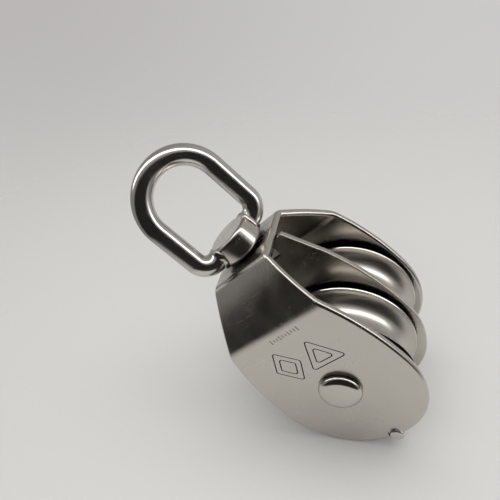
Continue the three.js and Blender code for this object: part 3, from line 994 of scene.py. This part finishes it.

# The backdrop's colours are painted shade: darker towards the top and the left, and a little darker again
# at the bottom right.
BACKDROP_LOW = ((0.575, 0.57, 0.55, 1), (0.665, 0.65, 0.625, 1))  # left and right
BACKDROP_HIGH = ((0.49, 0.475, 0.465, 1), (0.60, 0.585, 0.575, 1))
BACKDROP_FOOT = (0.58, 0.57, 0.555, 1)
WALLS = ((0.27, 0.265, 0.26, 1), (0.45, 0.445, 0.435, 1))  # left and right
TABLE = ((0.25, 0.245, 0.235, 1), (0.58, 0.57, 0.56, 1))  # near and far
DARK_ROOM = (0.022, 0.021, 0.019, 1)
STRIP_LIGHT = (4.0, 4.0, 3.95, 1)
FILL = (0.62, 0.615, 0.605, 1)

LENS = 39.0
SENSOR = 36
CAMERA_PLACE = Vector((103.62, -139.925, 102.861))  # millimetres from the middle of the axle
CAMERA_TURN = (64.24, 46.616, 16.949)  # degrees about X, Y and Z


def floor():
    """A plain pale floor. It fades into the backdrop for the camera, and is seen through from below."""
    origin = AXLE - UP * FLOOR_DROP * MM
    right, forward = RIGHT * FLOOR_HALF, FORWARD * FLOOR_HALF
    corners = [origin + right * a + forward * b for a, b in ((-1, -1), (1, -1), (1, 1), (-1, 1))]
    mesh = bpy.data.meshes.new("floor")
    mesh.from_pydata(corners, [], [(0, 1, 2, 3)])
    if mesh.polygons[0].normal.dot(UP) < 0:
        mesh.flip_normals()
    made = bpy.data.objects.new("floor", mesh)
    bpy.context.scene.collection.objects.link(made)

    material = bpy.data.materials.new("pale_paper")
    material.use_nodes = True
    tree = material.node_tree
    tree.nodes.clear()
    geometry = add_node(tree, "ShaderNodeNewGeometry").outputs
    path = add_node(tree, "ShaderNodeLightPath").outputs

    def hidden_beyond(middle, fade, ray):
        """1 for rays of one kind that meet the floor far from a point, and 0 close to it."""
        inputs = {0: geometry["Position"], 1: middle}
        away = add_node(tree, "ShaderNodeVectorMath", inputs, operation="DISTANCE").outputs["Value"]
        return math_node(tree, "MULTIPLY", remap(tree, away, *fade), path[ray])

    faded = hidden_beyond(origin, FLOOR_FADE, "Is Camera Ray")
    edge = hidden_beyond(origin + MIRRORED_MIDDLE * MM, MIRRORED_FADE, "Is Glossy Ray")
    clear = math_node(tree, "MAXIMUM", math_node(tree, "MAXIMUM", faded, edge), geometry["Backfacing"])
    grain = noise_at(tree, geometry["Position"], 900.0, detail=3.0)
    inputs = {
        "Base Color": FLOOR_COLOUR,
        "Roughness": 0.6,
        "Specular IOR Level": 0.25,
        "Normal": bumped(tree, grain, 0.01),
    }
    paper = add_node(tree, "ShaderNodeBsdfPrincipled", inputs).outputs[0]
    nothing = add_node(tree, "ShaderNodeBsdfTransparent").outputs[0]
    mix = add_node(tree, "ShaderNodeMixShader", {0: clear, 1: paper, 2: nothing}).outputs[0]
    add_node(tree, "ShaderNodeOutputMaterial", {"Surface": mix})
    made.data.materials.append(material)


def backdrop():
    """A pale backdrop for the camera. Metal reflects a studio: pale in front, dark behind the camera."""
    world = bpy.data.worlds.new("studio")
    bpy.context.scene.world = world
    world.use_nodes = True
    world.cycles.sampling_method = "NONE"
    tree = world.node_tree
    tree.nodes.clear()
    coordinates = add_node(tree, "ShaderNodeTexCoord").outputs
    direction = coordinates["Generated"]

    def towards(vector):
        made = add_node(tree, "ShaderNodeVectorMath", {0: direction, 1: vector}, operation="DOT_PRODUCT")
        return made.outputs["Value"]

    height, ahead, rightward = towards(UP), towards(FORWARD), towards(RIGHT)
    wall = mixed(tree, remap(tree, rightward, -0.9, 0.9), *WALLS)
    paper = mixed(tree, remap(tree, ahead, 0.3, 0.7), *TABLE)
    lit = mixed(tree, remap(tree, height, 0.02, -0.1), wall, paper)
    side = math_node(tree, "SUBTRACT", ahead, math_node(tree, "MULTIPLY", rightward, 0.12))
    seen = mixed(tree, remap(tree, side, -0.33, -0.46), lit, DARK_ROOM)
    strip = math_node(tree, "MULTIPLY", remap(tree, ahead, -0.08, -0.01), remap(tree, ahead, 0.2, 0.13))
    strip = math_node(tree, "MULTIPLY", strip, remap(tree, height, 0.1, 0.4))
    seen = mixed(tree, strip, seen, STRIP_LIGHT)

    # For the camera, the backdrop carries painted shade: darker towards the top and the left, and a little
    # darker at the bottom right.
    window = add_node(tree, "ShaderNodeSeparateXYZ", {0: coordinates["Window"]}).outputs
    across = remap(tree, window["X"], 0.0, 1.0)
    lower = mixed(tree, across, *BACKDROP_LOW)
    upper = mixed(tree, across, *BACKDROP_HIGH)
    plain = mixed(tree, remap(tree, window["Y"], 0.45, 1.0), lower, upper)
    plain = mixed(tree, remap(tree, window["Y"], 0.35, 0.0), plain, BACKDROP_FOOT)
    path = add_node(tree, "ShaderNodeLightPath").outputs
    colour = mixed(tree, path["Is Diffuse Ray"], seen, FILL)
    colour = mixed(tree, path["Is Camera Ray"], colour, plain)
    shader = add_node(tree, "ShaderNodeBackground", {"Color": colour}).outputs[0]
    add_node(tree, "ShaderNodeOutputWorld", {"Surface": shader})


def softbox(name, direction, distance, size, power):
    """A soft light that faces the axle from a distance in metres. size is (across, deep)."""
    light = bpy.data.lights.new(name, "AREA")
    light.shape = "RECTANGLE"
    light.size, light.size_y = size
    light.energy = power
    made = bpy.data.objects.new(name, light)
    bpy.context.scene.collection.objects.link(made)
    back = direction.normalized()
    across = (RIGHT - back * RIGHT.dot(back)).normalized()
    deep = back.cross(across)
    turn = Matrix((across, deep, back)).transposed().to_4x4()
    made.matrix_world = Matrix.Translation(AXLE + back * distance) @ turn
    made.visible_glossy = False


def camera():
    data = bpy.data.cameras.new("camera")
    data.sensor_width = SENSOR
    data.lens = LENS
    data.clip_start = 0.01
    made = bpy.data.objects.new("camera", data)
    bpy.context.scene.collection.objects.link(made)
    turn = Euler([math.radians(angle) for angle in CAMERA_TURN])
    made.matrix_world = Matrix.Translation(AXLE + CAMERA_PLACE * MM) @ turn.to_matrix().to_4x4()
    bpy.context.scene.camera = made


# ---------------------------------------------------------------- build

strap()
partition()
tie_rod()
axle()
welds_of_frame()
for wheel, outboard in (("near", -1), ("far", 1)):
    wheel_y = outboard * SHEAVE_Y
    sheave(wheel, wheel_y)
    inner_ring(wheel, wheel_y)
    outer_ring(wheel, wheel_y)
    shield_and_spacer(wheel, "outboard", wheel_y, outboard)
    shield_and_spacer(wheel, "inboard", wheel_y, -outboard)
    cage(wheel, wheel_y)
    balls(wheel)
stud()
washer()
eye()
eye_welds()

floor()
backdrop()
softbox("overhead", UP + FORWARD * 0.12 + RIGHT * 0.04, 0.45, (0.65, 0.25), 1.02)
softbox("front", UP * 0.7 - FORWARD, 0.5, (0.6, 0.4), 0.6)
camera()
bpy.context.scene.view_settings.view_transform = "Standard"
